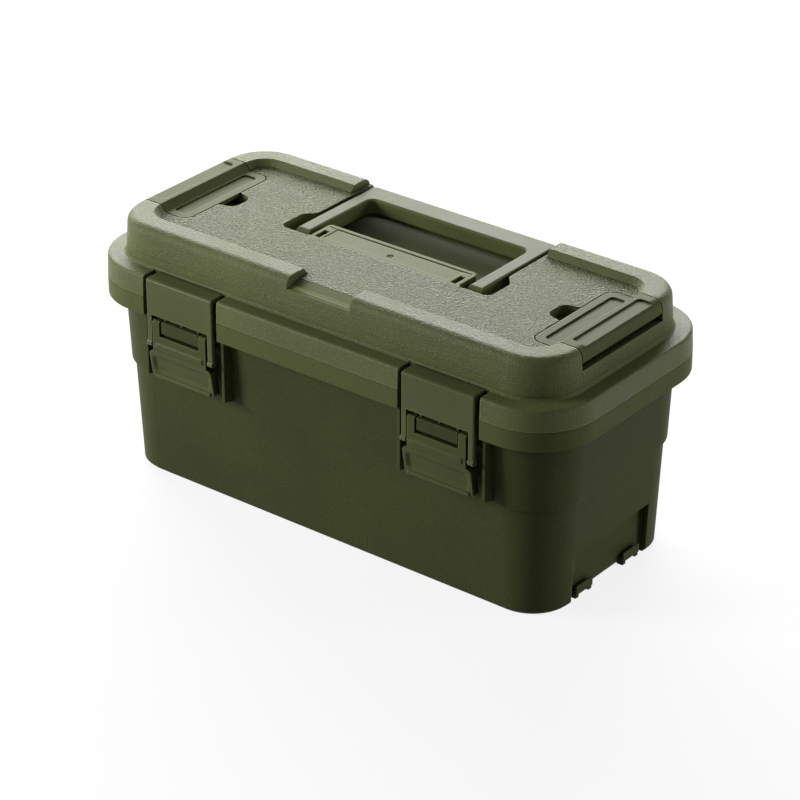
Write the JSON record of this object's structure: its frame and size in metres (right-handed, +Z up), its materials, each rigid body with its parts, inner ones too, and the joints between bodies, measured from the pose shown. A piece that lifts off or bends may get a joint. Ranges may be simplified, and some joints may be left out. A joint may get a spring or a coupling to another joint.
{
  "type": "tool box",
  "caption": "Moulded plastic tool box with a hinged lid, a fold-flat carrying handle, draw latches in front, stacking latch flaps at the ends and a lift-out tray.",
  "frame": {"origin": "middle of the face it stands on", "axes": "+X along the length, -Y towards the latches, +Z up"},
  "size_m": [0.41, 0.2042, 0.195],
  "materials": {
    "grained_body": "matt olive, grained",
    "smooth_fittings": "satin olive, smooth",
    "tray": "matt olive",
    "pins": "plain drawn"
  },
  "bodies": {
    "tub": {"base_tub": "grained_body", "hinge_pin_left": "pins", "hinge_pin_right": "pins", "lever_pin_left": "pins", "lever_pin_right": "pins"},
    "lid": {"lid": "grained_body", "handle_pin_left": "pins", "handle_pin_right": "pins", "stack_latch_pin_left": "pins", "stack_latch_pin_right": "pins"},
    "handle": {"handle": "smooth_fittings"},
    "tray": {"lift_out_tray": "tray"},
    "lever_left": {"latch_lever_left": "smooth_fittings", "strap_pin_left": "pins"},
    "strap_left": {"latch_strap_left": "smooth_fittings"},
    "flap_left": {"stack_latch_left": "smooth_fittings"},
    "lever_right": {"latch_lever_right": "smooth_fittings", "strap_pin_right": "pins"},
    "strap_right": {"latch_strap_right": "smooth_fittings"},
    "flap_right": {"stack_latch_right": "smooth_fittings"}
  },
  "joints": [
    {"name": "lid_hinge", "type": "hinge", "parent": "tub", "child": "lid", "pos_m": [0, 0.101, 0.15], "axis": [-1, 0, 0], "range_deg": [0, 100]},
    {"name": "handle_pivot", "type": "hinge", "parent": "lid", "child": "handle", "pos_m": [0, -0.002, 0.183], "axis": [1, 0, 0], "range_deg": [0, 95]},
    {"name": "tray_lift", "type": "slide", "parent": "tub", "child": "tray", "axis": [0, 0, 1], "range_m": [0, 0.015]},
    {"name": "lever_pivot_left", "type": "hinge", "parent": "tub", "child": "lever_left", "pos_m": [-0.1123, -0.0915, 0.1308], "axis": [-1, 0, 0], "range_deg": [0, 95]},
    {"name": "strap_pivot_left", "type": "hinge", "parent": "lever_left", "child": "strap_left", "pos_m": [-0.1123, -0.0956, 0.1166], "axis": [-1, 0, 0], "range_deg": [-114, 0]},
    {"name": "flap_pivot_left", "type": "hinge", "parent": "lid", "child": "flap_left", "pos_m": [-0.1855, 0, 0.1855], "axis": [0, -1, 0], "range_deg": [0, 95]},
    {"name": "lever_pivot_right", "type": "hinge", "parent": "tub", "child": "lever_right", "pos_m": [0.1123, -0.0915, 0.1308], "axis": [-1, 0, 0], "range_deg": [0, 95]},
    {"name": "strap_pivot_right", "type": "hinge", "parent": "lever_right", "child": "strap_right", "pos_m": [0.1123, -0.0956, 0.1166], "axis": [-1, 0, 0], "range_deg": [-114, 0]},
    {"name": "flap_pivot_right", "type": "hinge", "parent": "lid", "child": "flap_right", "pos_m": [0.1855, 0, 0.1855], "axis": [0, 1, 0], "range_deg": [0, 95]}
  ],
  "couplings": [
    {"joint": "strap_pivot_left", "follows": "lever_pivot_left", "ratio": -1.2},
    {"joint": "strap_pivot_right", "follows": "lever_pivot_right", "ratio": -1.2}
  ]
}
